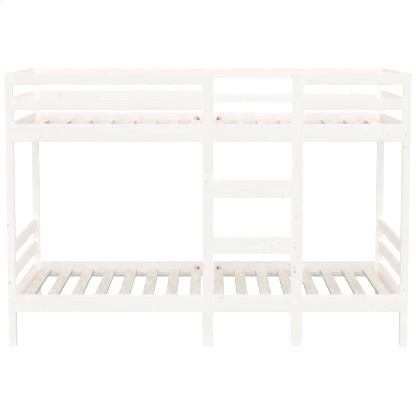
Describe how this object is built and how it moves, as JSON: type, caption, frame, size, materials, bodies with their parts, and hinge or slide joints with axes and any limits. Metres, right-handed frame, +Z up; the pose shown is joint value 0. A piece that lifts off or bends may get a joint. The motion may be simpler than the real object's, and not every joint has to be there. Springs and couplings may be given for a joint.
{
  "type": "bunk bed with ladder",
  "caption": "Two-level bunk bed in white-washed solid wood, with guard boards, slatted bases and an integrated upright ladder in the front.",
  "frame": {"origin": "on the floor, under the middle of the bed's length and depth", "axes": "+X along the bed to the right as seen from the front, +Z up, the ladder side faces -Y"},
  "size_m": [2.06, 1.03, 1.415],
  "materials": {
    "white_pine": "white-washed, matt, grain and knots faintly visible",
    "raw_pine": "planed, untreated",
    "beech": "raw, fluted dowel stock",
    "zinc_steel": "zinc plated",
    "dark_steel": "black oxide"
  },
  "bodies": {
    "root": {"barrel_nuts": "zinc_steel", "corner_bolts": "zinc_steel", "dowels": "beech", "front_left_post": "white_pine", "front_low_guard_left": "white_pine", "front_low_guard_right": "white_pine", "front_right_post": "white_pine", "front_top_guard_left": "white_pine", "front_top_guard_right": "white_pine", "ladder_left_stile": "white_pine", "ladder_right_stile": "white_pine", "ledger_screws": "zinc_steel", "lower_front_ledgers": "raw_pine", "lower_front_rail_left": "white_pine", "lower_front_rail_middle": "white_pine", "lower_front_rail_right": "white_pine", "lower_left_end_low_guard": "white_pine", "lower_left_end_rail": "white_pine", "lower_left_end_top_guard": "white_pine", "lower_rear_ledgers": "raw_pine", "lower_rear_rail_left": "white_pine", "lower_rear_rail_right": "white_pine", "lower_right_end_low_guard": "white_pine", "lower_right_end_rail": "white_pine", "lower_right_end_top_guard": "white_pine", "lower_slats_left": "raw_pine", "lower_slats_right": "raw_pine", "lower_step": "white_pine", "rear_left_post": "white_pine", "rear_low_guard_left": "white_pine", "rear_low_guard_right": "white_pine", "rear_middle_post": "white_pine", "rear_right_post": "white_pine", "rear_top_guard_left": "white_pine", "rear_top_guard_right": "white_pine", "rod_nuts": "dark_steel", "rod_washers": "dark_steel", "slat_screws": "zinc_steel", "step_bolts": "zinc_steel", "stile_rods": "zinc_steel", "upper_front_ledgers": "raw_pine", "upper_front_rail_left": "white_pine", "upper_front_rail_middle": "white_pine", "upper_front_rail_right": "white_pine", "upper_left_end_low_guard": "white_pine", "upper_left_end_rail": "white_pine", "upper_left_end_top_guard": "white_pine", "upper_rear_ledgers": "raw_pine", "upper_rear_rail_left": "white_pine", "upper_rear_rail_right": "white_pine", "upper_right_end_low_guard": "white_pine", "upper_right_end_rail": "white_pine", "upper_right_end_top_guard": "white_pine", "upper_slats_left": "raw_pine", "upper_slats_right": "raw_pine", "upper_step": "white_pine"}
  },
  "joints": []
}
